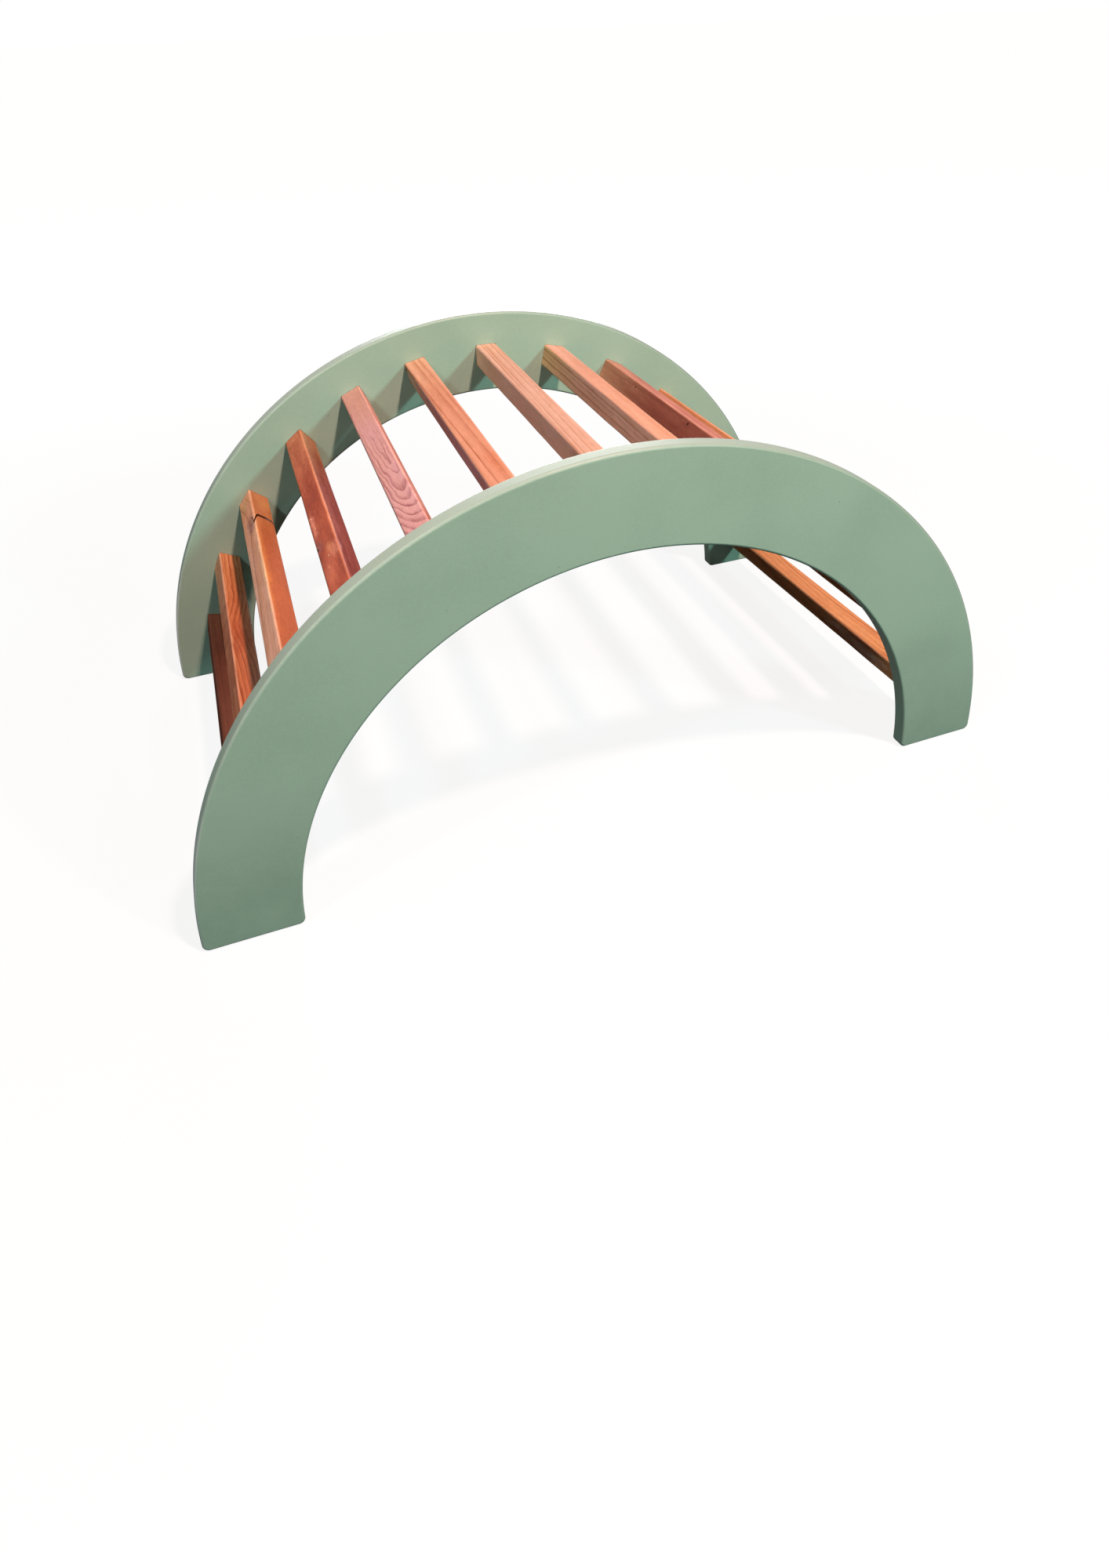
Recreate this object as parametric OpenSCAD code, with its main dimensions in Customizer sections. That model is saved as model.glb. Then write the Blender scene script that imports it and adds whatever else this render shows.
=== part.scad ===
// Wooden rocker arch for children.
//
// Two flat half-ring side panels stand parallel and carry a ladder of square
// bars set round the arc. Each bar end sits in a shallow pocket in the panel's
// inner face and is drawn up by one countersunk wood screw, and the screw's
// hole is closed by a flush plug under the paint. Standing on its four feet it
// is a climbing arch. Turned over it rocks on the panels' outer edges. The bars'
// places were marked by hand, so the row has a slight twist from front to back.
//
// X runs along the arch and Y from the front panel to the back one. The floor
// is z = 0, and the origin is the middle of the footprint.

/* [Side panels] */
// Radius of the panels' outer edge
arch_r = 450; // [400:5:500]
// Width of the ring, from its outer edge to its inner edge
band_w = 98; // [85:1:120]
// Thickness of one panel
panel_t = 18; // [15:0.5:25]
// Height above the ring's centre at which the feet are cut flat
foot_trim = 14; // [0:1:40]
// Radius of the feet's corners, seen from the front
foot_corner_r = 7; // [5:0.5:12]
// Radius of the round-over along the panels' edges
edge_r = 3; // [1:0.5:4]

/* [Rungs] */
// Clear distance between the two panels
inside_w = 478; // [350:2:600]
// Side of a rung's square section
rung_side = 27; // [22:0.5:32]
// Radius of a rung's eased long edges
rung_ease_r = 2; // [1:0.5:4]
// Distance from the panels' outer edge to the rungs' outer faces
rung_inset = 39; // [30:1:46]
// Angle between neighbouring rungs, in degrees
rung_pitch_deg = 13.1; // [11:0.1:13.4]
// Turn of the row of rungs towards the right foot, in degrees
rung_turn_deg = 1; // [-2:0.1:2]
// Turn of the rungs' front ends towards the left foot and of their back ends towards the right one
rung_skew_deg = 0.8; // [0:0.1:1]

/* [Joints] */
// Depth of the pocket that holds a rung's end
pocket_depth = 5; // [3:0.5:7]
// Gap left for glue round a rung's end
pocket_gap = 0.2; // [0.1:0.05:0.4]
// Length of a screw from head to tip
screw_len = 60; // [45:1:80]
// Diameter of a screw's shank
screw_d = 5; // [4:0.5:6]
// Diameter of a screw's countersunk head
screw_head_d = 9.5; // [8:0.5:11]
// Length of a screw's pointed tip
screw_tip_len = 7; // [4:0.5:10]
// Diameter of the tip's blunt end
screw_tip_d = 0.4; // [0.2:0.1:1]
// Width of the square driver recess in a screw's head
recess_w = 2.6; // [2:0.1:3]
// Depth of the driver recess
recess_depth = 2; // [1:0.1:2.5]
// Gap between a screw and its hole
screw_gap = 0.1; // [0.05:0.05:0.3]
// Diameter of the plug over a screw's head
plug_d = 12; // [11.5:0.5:15]
// Depth of the plug
plug_depth = 4; // [2.5:0.5:5]

/* [Hidden] */
$fn = 96;

// Rungs are counted from the left foot, over the top, to the right foot
rung_count = 13;
// How far each rung was marked off the even spacing, in degrees towards the left foot
rung_offsets = [0, 0.4, 0.3, -0.8, -0.4, 0.2, 0.1, 0.1, 0.4, 0, 0, 0, 0];
// Small overlap that keeps a cut from ending on a face
cut_over = 1;

paint_colour = "#92A995";
plug_colour = "#A9B3A2";
steel_colour = "#A8A9A6";
// Each bar was sawn from its own length of timber, so the tones differ
rung_colours = [
    "#75392B", "#C4683F", "#D98A5E", "#A8503A", "#D68C82", "#DF9A72", "#E2A183",
    "#E0A07F", "#B4654F", "#D98E62", "#CC7E55", "#C97B52", "#D88A5C"
];

inner_r = arch_r - band_w;
// Where the outer and inner edges pass the top of the feet's corner arcs
corner_rise = foot_trim + foot_corner_r;
outer_corner_x = sqrt(pow(arch_r, 2) - pow(corner_rise, 2));
inner_corner_x = sqrt(pow(inner_r, 2) - pow(corner_rise, 2));

// Distance from the ring's centre to the rungs' centre lines
rung_r = arch_r - rung_inset - rung_side / 2;
// A rung's length, with both ends down in their pockets
rung_len = inside_w + 2 * pocket_depth;
// Places of a front screw along the rung's axis, from the middle of the arch
panel_outside = inside_w / 2 + panel_t;
screw_top = panel_outside - plug_depth;
screw_head_h = (screw_head_d - screw_d) / 2;

function rung_angle(i) =
    90 - rung_turn_deg + (1 + (rung_count - 1) / 2 - i) * rung_pitch_deg + rung_offsets[i - 1];

// How far a rung leans sideways when its front end is turned by skew, and its back end the other way
function rung_lean(skew) = atan(2 * rung_r * sin(skew) / inside_w);

// ---- Frames of reference

// Raises what is drawn lying down: its up axis Y becomes Z, and its Z faces the front
module stand() {
    rotate([90, 0, 0]) children();
}

// Turns a front piece into its mirror image at the back
module at_back() {
    mirror([0, 1, 0]) children();
}

// Places a child at the middle of rung i, or at an end turned by skew, X pointing away from the
// ring's centre
module on_rung(i, skew = 0) {
    translate([0, -foot_trim, 0]) rotate([0, 0, rung_angle(i) + skew])
        translate([rung_r, 0, 0]) children();
}

// ---- Outlines

// Rectangle with four rounded corners, its lower left corner at the origin
module rounded_rect(w, h, r) {
    translate([r, 0]) square([w - 2 * r, h]);
    translate([0, r]) square([w, h - 2 * r]);
    for (x = [r, w - r], y = [r, h - r]) translate([x, y]) circle(r);
}

// What is sawn off a foot's outer corner, leaving an arc that starts above the origin
module corner_waste() {
    difference() {
        translate([0, -cut_over]) square(foot_corner_r + cut_over);
        translate([0, foot_corner_r]) circle(foot_corner_r);
    }
}

// ---- Side panel, drawn lying down with its inner face on z = 0 and the floor along y = 0

module ring() {
    translate([0, -foot_trim, 0]) rotate_extrude()
        translate([inner_r, 0]) rounded_rect(band_w, panel_t, edge_r);
}

// Everything that is sawn off the ring to make its two feet
module foot_waste() {
    half = arch_r + cut_over;
    translate([-half, -2 * half]) square(2 * half);
    for (side = [0, 1]) mirror([side, 0]) {
        translate([outer_corner_x - foot_corner_r, 0]) corner_waste();
        translate([inner_corner_x + foot_corner_r, 0]) mirror([1, 0]) corner_waste();
    }
}

module panel_blank() {
    difference() {
        ring();
        translate([0, 0, -cut_over]) linear_extrude(panel_t + 2 * cut_over) foot_waste();
    }
}

// ---- Joint of one rung end, placed along the rung's axis from the middle of the arch

module rung_section(grow) {
    side = rung_side + 2 * grow;
    translate([-side / 2, -side / 2]) rounded_rect(side, side, rung_ease_r + grow);
}

// A rung's bar between two depths, leaning sideways and grown by a gap
module leaning_bar(grow, lean, from, to) {
    intersection() {
        rotate([-lean, 0, 0]) translate([0, 0, -rung_len]) linear_extrude(2 * rung_len)
            rung_section(grow);
        translate([-rung_side, -rung_side, from]) cube([2 * rung_side, 2 * rung_side, to - from]);
    }
}

// The space that holds the end of a rung whose ends are turned by skew
module pocket(skew) {
    leaning_bar(pocket_gap, rung_lean(skew), inside_w / 2 - cut_over, inside_w / 2 + pocket_depth);
}

// A screw's outer shape, grown by the gap that its hole leaves round it
module screw_shape(grow) {
    head_r = screw_head_d / 2 + grow;
    shank_r = screw_d / 2 + grow;
    tip_z = screw_top - screw_len - grow;
    translate([0, 0, screw_top - screw_head_h]) cylinder(h = screw_head_h, r1 = shank_r, r2 = head_r);
    translate([0, 0, tip_z + screw_tip_len]) cylinder(h = screw_top - tip_z - screw_tip_len, r = shank_r);
    translate([0, 0, tip_z]) cylinder(h = screw_tip_len, r1 = screw_tip_d / 2, r2 = shank_r);
}

module screw() {
    difference() {
        screw_shape(0);
        translate([-recess_w / 2, -recess_w / 2, screw_top - recess_depth])
            cube([recess_w, recess_w, recess_depth + cut_over]);
    }
}

module plug() {
    translate([0, 0, screw_top]) cylinder(h = plug_depth, d = plug_d);
}

module plug_hole() {
    translate([0, 0, screw_top]) cylinder(h = plug_depth + cut_over, d = plug_d);
}

// ---- Pieces

// A side panel, drawn at the front, for rung ends that are turned by skew
module side_panel(skew) {
    color(paint_colour) stand() difference() {
        translate([0, 0, inside_w / 2]) panel_blank();
        for (i = [1:rung_count]) {
            on_rung(i) pocket(skew);
            on_rung(i, skew) {
                screw_shape(screw_gap);
                plug_hole();
            }
        }
    }
}

module front_side_panel() {
    side_panel(rung_skew_deg);
}

module back_side_panel() {
    at_back() side_panel(-rung_skew_deg);
}

// Rung i, with a pilot hole in each end for its screw
module rung(i) {
    color(rung_colours[i - 1]) stand() difference() {
        on_rung(i) leaning_bar(0, rung_lean(rung_skew_deg), -rung_len / 2, rung_len / 2);
        on_rung(i, rung_skew_deg) screw_shape(screw_gap);
        on_rung(i, -rung_skew_deg) mirror([0, 0, 1]) screw_shape(screw_gap);
    }
}

// The screws of one panel, drawn at the front
module screws(skew) {
    color(steel_colour) stand() for (i = [1:rung_count]) on_rung(i, skew) screw();
}

module front_screws() {
    screws(rung_skew_deg);
}

module back_screws() {
    at_back() screws(-rung_skew_deg);
}

// The plugs of one panel, drawn at the front
module screw_plugs(skew) {
    color(plug_colour) stand() for (i = [1:rung_count]) on_rung(i, skew) plug();
}

module front_screw_plugs() {
    screw_plugs(rung_skew_deg);
}

module back_screw_plugs() {
    at_back() screw_plugs(-rung_skew_deg);
}

front_side_panel();
back_side_panel();
rung(1);  // rung_01
rung(2);  // rung_02
rung(3);  // rung_03
rung(4);  // rung_04
rung(5);  // rung_05
rung(6);  // rung_06
rung(7);  // rung_07
rung(8);  // rung_08
rung(9);  // rung_09
rung(10);  // rung_10
rung(11);  // rung_11
rung(12);  // rung_12
rung(13);  // rung_13
front_screws();
back_screws();
front_screw_plugs();
back_screw_plugs();
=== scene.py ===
import functools
import math

import bmesh
import bpy
from mathutils import Matrix, Vector, noise


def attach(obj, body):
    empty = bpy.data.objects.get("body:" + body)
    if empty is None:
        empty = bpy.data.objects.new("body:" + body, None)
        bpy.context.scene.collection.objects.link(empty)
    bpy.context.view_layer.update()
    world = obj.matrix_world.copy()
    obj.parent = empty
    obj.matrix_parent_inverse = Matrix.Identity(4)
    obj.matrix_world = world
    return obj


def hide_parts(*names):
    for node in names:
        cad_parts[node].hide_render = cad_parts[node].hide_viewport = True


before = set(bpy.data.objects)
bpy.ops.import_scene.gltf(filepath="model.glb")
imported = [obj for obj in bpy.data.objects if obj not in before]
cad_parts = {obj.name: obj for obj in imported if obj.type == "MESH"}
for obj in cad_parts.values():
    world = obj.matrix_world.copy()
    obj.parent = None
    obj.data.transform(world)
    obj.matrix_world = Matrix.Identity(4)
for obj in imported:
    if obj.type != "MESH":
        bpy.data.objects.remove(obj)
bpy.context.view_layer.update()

# Wooden rocker arch: two sprayed half-ring panels, joined by thirteen oiled softwood bars.
# X runs along the arch, Y from the front panel to the back one, and the floor is z = 0.

MM = 0.001

# ---- Sizes in millimetres, the same as the part's own

ARCH_R = 450
BAND_W = 98
PANEL_T = 18
FOOT_TRIM = 14
FOOT_CORNER_R = 7
EDGE_R = 3
INSIDE_W = 478
RUNG_SIDE = 27
RUNG_EASE_R = 2
RUNG_INSET = 39
RUNG_PITCH = 13.1
RUNG_TURN = 1
RUNG_SKEW = 0.8
RUNG_OFFSETS = (0, 0.4, 0.3, -0.8, -0.4, 0.2, 0.1, 0.1, 0.4, 0, 0, 0, 0)
RUNG_COUNT = 13
POCKET_DEPTH = 5
POCKET_GAP = 0.2
SCREW_D = 5
SCREW_HEAD_D = 9.5
SCREW_GAP = 0.1
PLUG_D = 12
PLUG_DEPTH = 4

INNER_R = ARCH_R - BAND_W
RUNG_R = ARCH_R - RUNG_INSET - RUNG_SIDE / 2
RUNG_LEN = INSIDE_W + 2 * POCKET_DEPTH
PANEL_OUTSIDE = INSIDE_W / 2 + PANEL_T
SCREW_TOP = PANEL_OUTSIDE - PLUG_DEPTH
# How far the rungs lean sideways, since their two ends are skewed opposite ways
LEAN = math.atan(2 * RUNG_R * math.sin(math.radians(RUNG_SKEW)) / INSIDE_W)

# ---- Sizes in millimetres, steps and shares that the part doesn't have

# The plugs are sanded off this far below the surface of the paint that hides them
PAINT_T = 0.2
# The plugs sit this far inside their holes, and their inner ends are chamfered by this much
PLUG_SLACK = 0.05
PLUG_CHAMFER = 0.6
# The part's outer arc is made of short straight steps, which lie this far inside a true arc
ARC_SHY = 0.1
# Steps of the panels' arcs, of the feet's corners and of the round-overs
ARC_STEPS = 300
CORNER_STEPS = 8
ROUND_STEPS = 7
# The solids that cut the pockets and the screw holes start this far before them
POCKET_START = 2
HOLE_START = 1
# Length of a row of a bar's mesh, and steps of its faces, of its eased edges and of round holes
ROW_STEP = 6
FACE_STEPS = 8
EASE_STEPS = 5
CIRCLE_STEPS = 32
# The planed faces lie this far below true, give or take as much, in waves of this width and length
WAVER = 0.07
WAVE_ACROSS = 12
WAVE_ALONG = 70
# Easing by hand adds up to this much to the radius, in waves of this length
MORE_EASE = 1.1
EASE_WAVE = 45
# How far beside a split the rows of the mesh are drawn along with it, and how far apart they are
SPLIT_BELOW = 56
SPLIT_ABOVE = 24
SPLIT_ROW = 4
# Where the split's floor ends and its edge is, as shares of its half width
GAP_FLOOR = 0.4
GAP_EDGE = 1.2
# Where along a bar's Z the split starts, and where it is at its deepest
GAP_FROM = -5
GAP_TO = -11.5
# Its painted shade fades out between these distances beyond its half width, and these places along
# Z
DARK_BESIDE = (1.7, 0.5)
DARK_ON_SIDE = (-8.5, -10.5)
# Edges that turn by more degrees than this stay sharp
SHARP_FROM = 35


def rung_frame(i, skew=0):
    """Frame at the middle of rung i, or at an end turned by skew degrees: X points away from
    the ring's centre, Y to the back and Z along the arch towards the left foot."""
    place = 90 - RUNG_TURN + ((RUNG_COUNT + 1) / 2 - i) * RUNG_PITCH + RUNG_OFFSETS[i - 1]
    turn = math.radians(place + skew)
    out = Vector((math.cos(turn), 0, math.sin(turn)))
    side = Vector((-math.sin(turn), 0, math.cos(turn)))
    middle = out * RUNG_R * MM - Vector((0, 0, FOOT_TRIM * MM))
    return Matrix((
        (out.x, 0, side.x, middle.x),
        (0, 1, 0, 0),
        (out.z, 0, side.z, middle.z),
        (0, 0, 0, 1),
    ))


def bar_frame(i):
    """Frame of rung i's own bar, which leans with the row's twist."""
    return rung_frame(i) @ Matrix.Rotation(-LEAN, 4, "X")


def at_depth(x, depth, z):
    """Point of a leaning bar, in its own frame, at a depth along the arch's Y."""
    return x, (depth - z * math.sin(LEAN)) / math.cos(LEAN), z


# ---- Camera, fitted to the photograph's outlines

# Lens, centre and size in the photograph's pixels, then metres and degrees
LENS_PX = 1233.91
CENTRE_PX = (738.35, 827.09)
PHOTO_PX = (1414, 2000)
SENSOR_MM = 36
CAMERA_PLACE = (-0.31463, -0.96986, 0.74829)
CAMERA_TURN = (56.6464, 1.5143, -21.0079)
CAMERA_REACH = 200

camera_data = bpy.data.cameras.new("camera")
camera_data.sensor_width = SENSOR_MM
camera_data.lens = LENS_PX * SENSOR_MM / PHOTO_PX[1]
camera_data.shift_x = (PHOTO_PX[0] / 2 - CENTRE_PX[0]) / PHOTO_PX[1]
camera_data.shift_y = (CENTRE_PX[1] - PHOTO_PX[1] / 2) / PHOTO_PX[1]
camera_data.clip_end = CAMERA_REACH
camera = bpy.data.objects.new("camera", camera_data)
camera.location = CAMERA_PLACE
camera.rotation_euler = [math.radians(a) for a in CAMERA_TURN]
bpy.context.scene.collection.objects.link(camera)
bpy.context.scene.camera = camera


# ---- Colours and nodes


def hex_colour(code):
    """sRGB hex to the linear colour that a shader takes."""
    def linear(v):
        return v / 12.92 if v <= 0.04045 else ((v + 0.055) / 1.055) ** 2.4
    return tuple(linear(int(code[k:k + 2], 16) / 255) for k in (1, 3, 5)) + (1.0,)


def grey(v):
    return (v, v, v, 1.0)


def add(tree, kind, *values, inputs=None, stops=None, **settings):
    """Adds a node with its settings and links. Values go in order to the inputs that the node
    shows, or by name where they are in inputs. A node among them stands for the first output
    that it shows. Stops are the places and colours of a ramp."""
    node = tree.nodes.new("ShaderNode" + kind)
    for name, setting in settings.items():
        setattr(node, name, setting)
    if stops:
        line = node.color_ramp.elements
        line.remove(line[-1])
        line[0].position, line[0].color = stops[0]
        for place, colour in stops[1:]:
            line.new(place).color = colour
    shown = [socket for socket in node.inputs if socket.enabled]
    wanted = list(zip(shown, values))
    wanted += [(node.inputs[name], value) for name, value in (inputs or {}).items()]
    for socket, value in wanted:
        if isinstance(value, bpy.types.Node):
            value = next(output for output in value.outputs if output.enabled)
        if isinstance(value, bpy.types.NodeSocket):
            tree.links.new(value, socket)
        else:
            socket.default_value = value
    return node


def new_material(name):
    """A material, and what adds a node to it."""
    material = bpy.data.materials.new(name)
    material.use_nodes = True
    material.node_tree.nodes.clear()
    return material, functools.partial(add, material.node_tree)


def in_millimetres(node):
    """Where each spot of the surface lies in its piece's own frame, in millimetres."""
    return node("VectorMath", node("TexCoord").outputs["Object"], 1 / MM, operation="SCALE")


# ---- Sage paint

# Marks on the panels' outer edge, which the arch rocks on: dust and a painted sheen, a darkening
# towards the right, and pale scuffs. Each row says between which places along X the mark changes,
# how strong it is at both, and its colour.
EDGE_MARKS = (
    (-300, 0, 0.16, 0.33, "#9C9A99"),  # dust and a painted sheen, greying the edge
    (-250, 345, 0, 0.85, "#6F8076"),  # darker towards the right
    (-408, -440, 0, 1, "#D2DAD4"),  # pale scuffs by the left foot
)


def ring_and_ridge(node, parts):
    """How far a spot of a panel is from the ring's centre, and how far out on its round-overs:
    EDGE_R where a flat face ends, and 1.41 times that in the middle of a round-over."""
    up = node("Math", parts["Z"], FOOT_TRIM, operation="ADD")
    across = node("Math", parts["X"], 2, operation="POWER")
    up = node("Math", up, 2, operation="POWER")
    ring = node("Math", node("Math", across, up, operation="ADD"), operation="SQRT")
    from_middle = node("Math", ring, (ARCH_R + INNER_R) / 2, operation="SUBTRACT")
    from_middle = node("Math", from_middle, operation="ABSOLUTE")
    to_side = node("Math", from_middle, BAND_W / 2 - EDGE_R, operation="SUBTRACT")
    in_panel = node("Math", parts["Y"], operation="ABSOLUTE")
    in_panel = node("Math", in_panel, PANEL_OUTSIDE - PANEL_T / 2, operation="SUBTRACT")
    in_panel = node("Math", in_panel, operation="ABSOLUTE")
    to_face = node("Math", in_panel, PANEL_T / 2 - EDGE_R, operation="SUBTRACT")
    to_side = node("Math", to_side, 0, operation="MAXIMUM")
    to_face = node("Math", to_face, 0, operation="MAXIMUM")
    return ring, node("Math", to_side, to_face, operation="ADD")


def satin_sage_paint():
    """Sprayed satin acrylic on MDF: an even sage green with a soft gloss and faint orange peel."""
    material, node = new_material("satin_sage_paint")
    place = in_millimetres(node)
    parts = node("SeparateXYZ", place).outputs
    ring, ridge = ring_and_ridge(node, parts)

    # Coats laid a little unevenly, in faint clouds about 90 mm across, over a 2 mm stipple
    clouds = node("TexNoise", place, 1 / 90, 3)
    stipple = node("TexNoise", place, 1 / 2, 3, 0.6)
    laid = node("Math", stipple, 0.8, clouds, operation="MULTIPLY_ADD")
    tone = node("ValToRGB", laid,
                stops=[(0.6, hex_colour("#96B19F")), (1.0, hex_colour("#9DB8A6"))])

    # Dust nibs under the last coat, about 1 mm across and 25 mm apart
    nibs = node("TexVoronoi", place, 1 / 25, feature="F1")
    nib = node("MapRange", nibs, 0.012, 0.03, 1, 0)
    tone = node("Mix", nib, tone, hex_colour("#6E8573"), data_type="RGBA")

    # The round-over is paler in spots about 14 mm across: partly rubbed, where the coat is thin and
    # lets the pale primer through, and partly a painted highlight along the arris
    on_ridge = node("MapRange", ridge, 1.18 * EDGE_R, 1.34 * EDGE_R)
    spots = node("MapRange", node("TexNoise", place, 1 / 14, 4, 0.65), 0.3, 0.7)
    rub_and_highlight = node("Math", on_ridge, spots, operation="MULTIPLY")
    rub_and_highlight = node("Math", rub_and_highlight, 0.3, operation="MULTIPLY")
    tone = node("Mix", rub_and_highlight, tone, hex_colour("#C8D8C6"), data_type="RGBA")

    # The outer edge and about 2 mm of the round-overs beside it: dust and a painted sheen, a
    # darkening towards the right, and pale scuffs by the left foot
    on_edge = node("MapRange", ring, ARCH_R - 2.4, ARCH_R - 1.4)
    for from_x, to_x, from_share, to_share, colour in EDGE_MARKS:
        share = node("MapRange", parts["X"], from_x, to_x, from_share, to_share)
        share = node("Math", on_edge, share, operation="MULTIPLY")
        tone = node("Mix", share, tone, hex_colour(colour), data_type="RGBA")

    # The front face is darker above the feet, up to 180 mm, in spots about 30 mm across: grime and
    # painted shade near the floor
    on_front = node("MapRange", parts["Y"], 2 - PANEL_OUTSIDE, 1 - PANEL_OUTSIDE)
    low = node("MapRange", parts["Z"], 180, 0, 0, 0.36)
    grubby_and_shaded = node("Math", on_front, low, operation="MULTIPLY")
    spots = node("MapRange", node("TexNoise", place, 1 / 30, 3, 0.6), 0.3, 0.7, 0.75, 1.25)
    grubby_and_shaded = node("Math", grubby_and_shaded, spots, operation="MULTIPLY")
    tone = node("Mix", grubby_and_shaded, tone, hex_colour("#6A8478"), data_type="RGBA")

    # Orange peel is 1 to 2 mm across and a few hundredths of a millimetre high
    peel = node("TexNoise", place, 1 / 1.6, 2, 0.6)
    height = node("Math", nib, peel, operation="ADD")
    bump = node("Bump", inputs={"Height": height, "Distance": 0.06 * MM, "Strength": 1})
    sheen = node("MapRange", clouds, 0.3, 0.7, 0.39, 0.43)
    paint = node("BsdfPrincipled", inputs={"Base Color": tone, "Roughness": sheen, "Normal": bump,
                                           "IOR": 1.5, "Specular IOR Level": 0.3})
    node("OutputMaterial", paint)
    return material


# ---- Softwood

# A strong ring's shape: how far out, in its own widths, and how dark it is there
RING_SHAPE = ((-1, 0), (-0.25, 1), (0.1, 1), (0.4, 0))
# How far from the bar's middle the strong rings can lie, in mm
RINGS_REACH = 24
# Where along a bar's Y the painted light and shade change to that of the far end
FAR_END = (50, 230)

# A knot's branch runs right through the bar, along X or Z, and shows on both faces there. So
# distances that way don't count, and those along the bar count a little less
THROUGH_X = (0, 0.8, 1)
THROUGH_Z = (1, 0.8, 0)

# What a bar's wood is like. All places are in mm in the bar's own frame.
#   slot       the record's material slot
#   seed       what makes a bar's noise its own
#   pith       where the tree's heart lies from the bar's middle, x and z
#   lean       how the heart runs off along the bar, x and z per mm
#   ring       width of a year
#   phase      which part of a year the bar's middle is in
#   depth      the least and the most dark of the late wood
#   onset      when in the year the wood begins to darken
#   rings      the strong rings: how far out from the bar's middle, how dark and how wide
#   wave       how far the rings bend
#   bend       width and length of those bends
#   swells     where the rings bow out: y, reach and push in x and z
#   dive       from where the heart dives away: y, and x and z per mm squared
#   figure     how clear the rings are on the side faces and on the outer face
#   calm       where they fade along the bar: from y, to y and how clear they are at both
#   early      tone of the early wood
#   tone       the same in its darker stretches
#   late       tone of the late wood and of the resin flecks
#   flecks     how dark the flecks are
#   patches_and_painted_light  cloudy spots of another tone, some of them painted light: x, y, z,
#                width, length, colour and share
#   knots      x, y, z, way through, radius and how far it pushes the rings
#   knot       tone of the knots
#   split      an open split across the upper side: the y where it runs straight, how much it
#              bows below bow_from and how far it drops off past drop_from, both places along x,
#              then half its width and its depth
#   scratches  how pale the scratches are
#   mottle     how far the tone varies over a few millimetres
#   rubbed_and_highlight  tone where the oil has worn off, and of the painted highlight on the eased
#   edges
#   face_lighting_tints  painted light and shade, which the tone is multiplied by: the side faces'
#              near and far end, then the outer face's near and far end
#   gloss      roughness of the oil
#   sheen      share of the light that the oil mirrors

# What a bar has unless BARS says otherwise
PLAIN_BAR = dict(
    phase=0, depth=(0.35, 0.8), onset=0.55, rings=(), swells=(), dive=None, figure=(1, 1),
    calm=None, flecks=0.4, patches_and_painted_light=(), knots=(), knot="#5A2E1C", split=None, scratches=0.15,
    mottle=0.05, rubbed_and_highlight="#E3B394", face_lighting_tints=((1, 1, 1),) * 4, gloss=0.45, sheen=0.02)

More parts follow.
